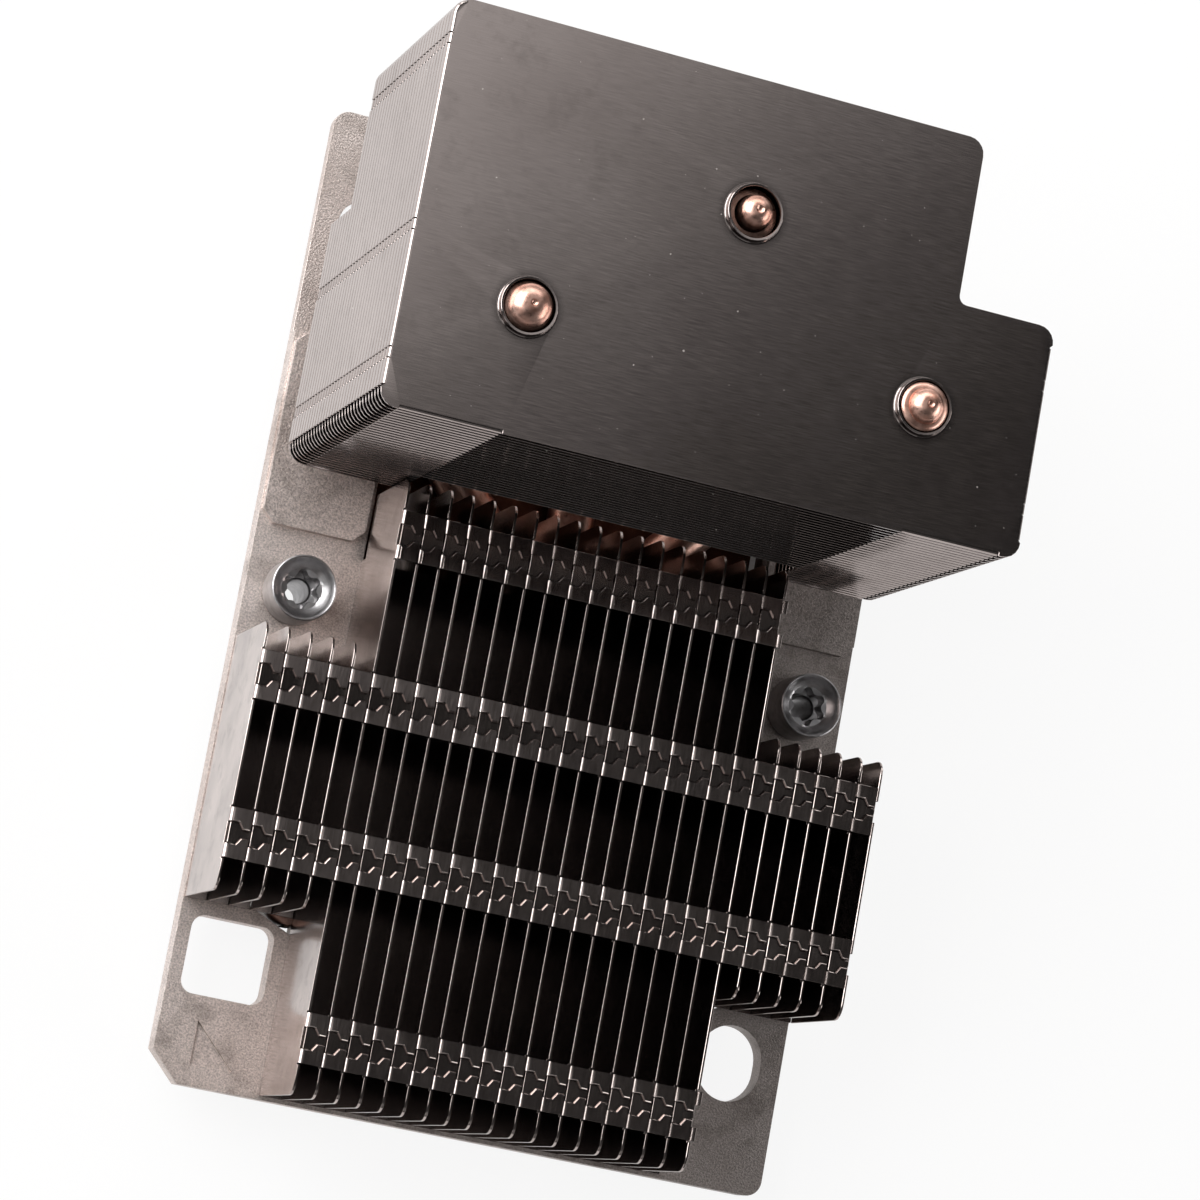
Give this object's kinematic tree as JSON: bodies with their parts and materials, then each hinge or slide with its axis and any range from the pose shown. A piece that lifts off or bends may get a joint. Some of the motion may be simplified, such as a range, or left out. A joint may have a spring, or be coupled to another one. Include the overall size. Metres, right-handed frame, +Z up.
{
  "type": "server cpu heatsink",
  "caption": "Passive server processor heatsink: low stack of zip-locked vertical fins in front of a tower of horizontal fins on heat pipes, on a cast carrier with captive nuts.",
  "frame": {"origin": "centre of the processor contact face on the underside of the cold plate", "axes": "+X across the lower fins, +Y from the open front towards the fin tower, +Z up away from the processor"},
  "size_m": [0.0785, 0.122, 0.0609],
  "materials": {
    "cast_aluminium": "die-cast aluminium, sandblasted, dull grey with handling smudges",
    "cold_plate_copper": "milled copper, slightly oxidised",
    "pipe_copper": "drawn copper tube, dulled by soldering",
    "lower_fin_aluminium": "stamped bright aluminium sheet, fine rolling grain",
    "tower_fin_aluminium": "stamped aluminium sheet, finely brushed along X, with specks and handling marks",
    "zinc_steel": "turned steel, blue-grey zinc plating",
    "spring_steel": "phosphated spring steel"
  },
  "bodies": {
    "heatsink": {"carrier_plate": "cast_aluminium", "cold_plate": "cold_plate_copper", "end_fin": "lower_fin_aluminium", "heat_pipe_left": "pipe_copper", "heat_pipe_middle": "pipe_copper", "heat_pipe_right": "pipe_copper", "long_fin_01": "lower_fin_aluminium", "long_fin_02": "lower_fin_aluminium", "long_fin_03": "lower_fin_aluminium", "long_fin_04": "lower_fin_aluminium", "long_fin_05": "lower_fin_aluminium", "long_fin_06": "lower_fin_aluminium", "long_fin_07": "lower_fin_aluminium", "long_fin_08": "lower_fin_aluminium", "long_fin_09": "lower_fin_aluminium", "long_fin_10": "lower_fin_aluminium", "long_fin_11": "lower_fin_aluminium", "long_fin_12": "lower_fin_aluminium", "long_fin_13": "lower_fin_aluminium", "long_fin_14": "lower_fin_aluminium", "long_fin_15": "lower_fin_aluminium", "long_fin_16": "lower_fin_aluminium", "long_fin_17": "lower_fin_aluminium", "long_fin_18": "lower_fin_aluminium", "long_fin_19": "lower_fin_aluminium", "short_fin_left_1": "lower_fin_aluminium", "short_fin_left_2": "lower_fin_aluminium", "short_fin_left_3": "lower_fin_aluminium", "short_fin_left_4": "lower_fin_aluminium", "short_fin_left_5": "lower_fin_aluminium", "short_fin_right_1": "lower_fin_aluminium", "short_fin_right_2": "lower_fin_aluminium", "short_fin_right_3": "lower_fin_aluminium", "short_fin_right_4": "lower_fin_aluminium", "short_fin_right_5": "lower_fin_aluminium", "tower_sheets": "tower_fin_aluminium", "tower_top_sheet": "tower_fin_aluminium", "tower_wing_sheets_left": "tower_fin_aluminium", "tower_wing_sheets_right": "tower_fin_aluminium"},
    "nut_left": {"captive_nut_left": "zinc_steel", "retaining_clip_left": "spring_steel"},
    "nut_right": {"captive_nut_right": "zinc_steel", "retaining_clip_right": "spring_steel"}
  },
  "joints": [
    {"name": "nut_left_spin", "type": "hinge", "parent": "heatsink", "child": "nut_left", "pos_m": [-0.0329, 0, 0.0073], "axis": [0, 0, 1], "continuous": true},
    {"name": "nut_right_spin", "type": "hinge", "parent": "heatsink", "child": "nut_right", "pos_m": [0.0329, 0, 0.0073], "axis": [0, 0, 1], "continuous": true}
  ]
}
